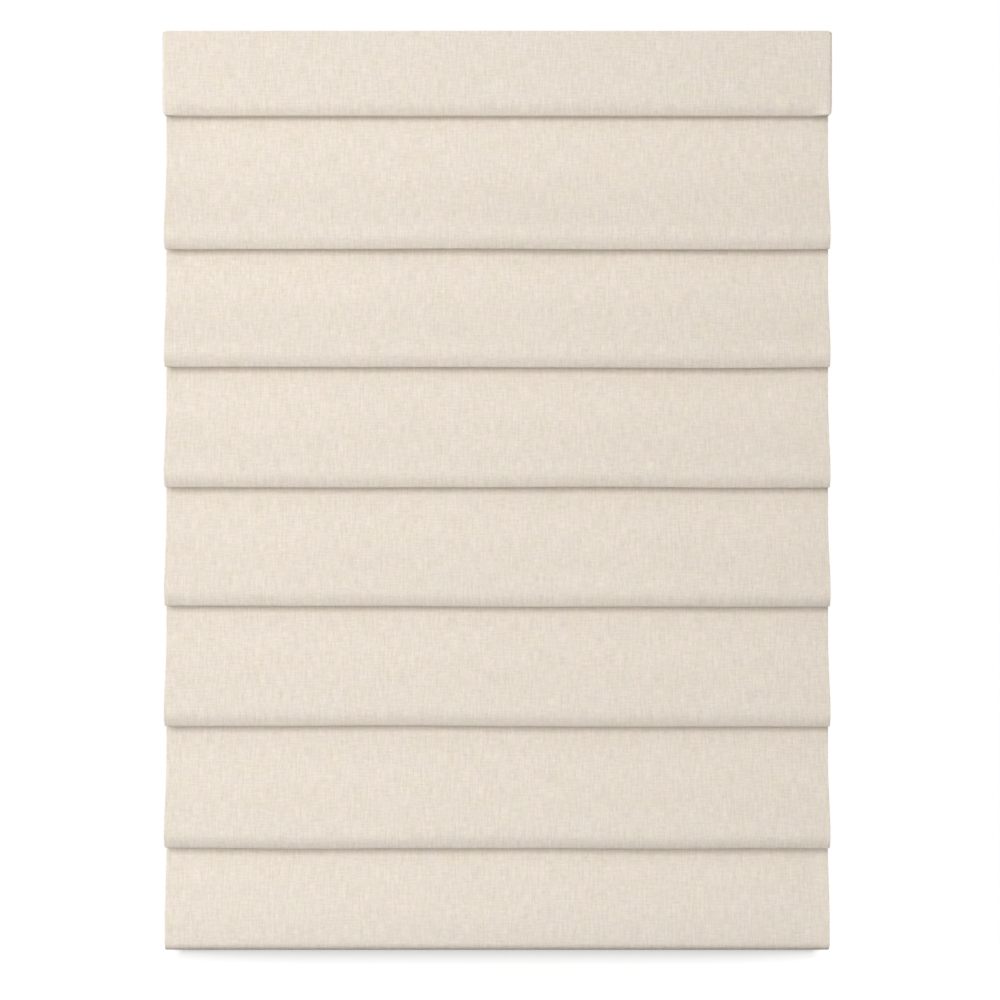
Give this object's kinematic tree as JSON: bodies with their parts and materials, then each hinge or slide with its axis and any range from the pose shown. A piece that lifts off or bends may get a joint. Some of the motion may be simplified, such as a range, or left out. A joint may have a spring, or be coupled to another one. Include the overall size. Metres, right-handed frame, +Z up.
{
  "type": "roman blind",
  "caption": "Cordless roman blind with soft hanging folds, a returned valance and a hem panel, which raises by gathering its cloth below the headrail.",
  "frame": {"origin": "middle of the four screw holes, on the top mounting plane of the two headrail brackets", "axes": "+Z up, +X to the right seen from the room, -Y towards the room"},
  "size_m": [0.914, 0.085, 1.256],
  "materials": {
    "face_cloth": "woven linen-look cloth, oatmeal",
    "lining_cloth": "close plain weave, off-white",
    "tape_cloth": "woven tape",
    "rail_paint": "powder coat, satin white",
    "steel": "zinc plated",
    "spring_steel": "blued and polished",
    "white_plastic": "moulded",
    "motor_plastic": "moulded",
    "gear_plastic": "moulded acetal",
    "rod_glass": "pultruded glass fibre",
    "bar_aluminium": "mill finish"
  },
  "bodies": {
    "root": {"headrail_channel": "rail_paint", "end_cap_left": "white_plastic", "end_cap_right": "white_plastic", "bracket_left": "steel", "bracket_right": "steel", "hook_tape": "tape_cloth", "loop_tape": "tape_cloth", "valance": "face_cloth", "valance_clips": "spring_steel", "face_fabric": "face_cloth", "lining": "lining_cloth", "spool_cradle_left": "white_plastic", "spool_cradle_centre": "white_plastic", "spool_cradle_right": "white_plastic", "cord_bushes": "white_plastic", "motor_case": "motor_plastic", "motor_cover": "motor_plastic", "storage_axle": "steel", "spring_band": "spring_steel"},
    "lift_shaft": {"lift_shaft": "steel", "lift_spool_left": "white_plastic", "lift_spool_centre": "white_plastic", "lift_spool_right": "white_plastic", "motor_output_drum": "gear_plastic"},
    "storage_drum": {"motor_storage_drum": "gear_plastic"},
    "rib_1": {"rib_pocket_1": "tape_cloth", "rib_rod_1": "rod_glass", "cord_eyes_1": "white_plastic"},
    "rib_2": {"rib_pocket_2": "tape_cloth", "rib_rod_2": "rod_glass", "cord_eyes_2": "white_plastic"},
    "rib_3": {"rib_pocket_3": "tape_cloth", "rib_rod_3": "rod_glass", "cord_eyes_3": "white_plastic"},
    "rib_4": {"rib_pocket_4": "tape_cloth", "rib_rod_4": "rod_glass", "cord_eyes_4": "white_plastic"},
    "rib_5": {"rib_pocket_5": "tape_cloth", "rib_rod_5": "rod_glass", "cord_eyes_5": "white_plastic"},
    "bottom": {"rib_pocket_6": "tape_cloth", "rib_rod_6": "rod_glass", "cord_anchors": "white_plastic", "hem_panel": "face_cloth", "bottom_bar": "bar_aluminium", "bar_plug_left": "white_plastic", "bar_plug_right": "white_plastic"}
  },
  "joints": [
    {"name": "blind_lift", "type": "slide", "parent": "root", "child": "bottom", "axis": [0, 0, 1], "range_m": [0, 0.88], "deforming": ["face_fabric", "lining"]},
    {"name": "rib_1_rise", "type": "slide", "parent": "root", "child": "rib_1", "axis": [0, 0, 1], "range_m": [0, 0.1406]},
    {"name": "rib_2_rise", "type": "slide", "parent": "root", "child": "rib_2", "axis": [0, 0, 1], "range_m": [0, 0.2875]},
    {"name": "rib_3_rise", "type": "slide", "parent": "root", "child": "rib_3", "axis": [0, 0, 1], "range_m": [0, 0.4366]},
    {"name": "rib_4_rise", "type": "slide", "parent": "root", "child": "rib_4", "axis": [0, 0, 1], "range_m": [0, 0.5844]},
    {"name": "rib_5_rise", "type": "slide", "parent": "root", "child": "rib_5", "axis": [0, 0, 1], "range_m": [0, 0.7336]},
    {"name": "shaft_turn", "type": "hinge", "parent": "root", "child": "lift_shaft", "pos_m": [0, -0.0096, -0.021], "axis": [1, 0, 0], "range_deg": [-6305, 0]},
    {"name": "storage_drum_turn", "type": "hinge", "parent": "root", "child": "storage_drum", "pos_m": [0.14, 0.00945, -0.021], "axis": [1, 0, 0], "range_deg": [0, 6305]}
  ],
  "couplings": [
    {"joint": "rib_1_rise", "follows": "blind_lift", "ratio": 0.15917},
    {"joint": "rib_2_rise", "follows": "blind_lift", "ratio": 0.3261},
    {"joint": "rib_3_rise", "follows": "blind_lift", "ratio": 0.49561},
    {"joint": "rib_4_rise", "follows": "blind_lift", "ratio": 0.66357},
    {"joint": "rib_5_rise", "follows": "blind_lift", "ratio": 0.83308},
    {"joint": "shaft_turn", "follows": "blind_lift", "rad_per_m": -125},
    {"joint": "storage_drum_turn", "follows": "blind_lift", "rad_per_m": 125}
  ]
}
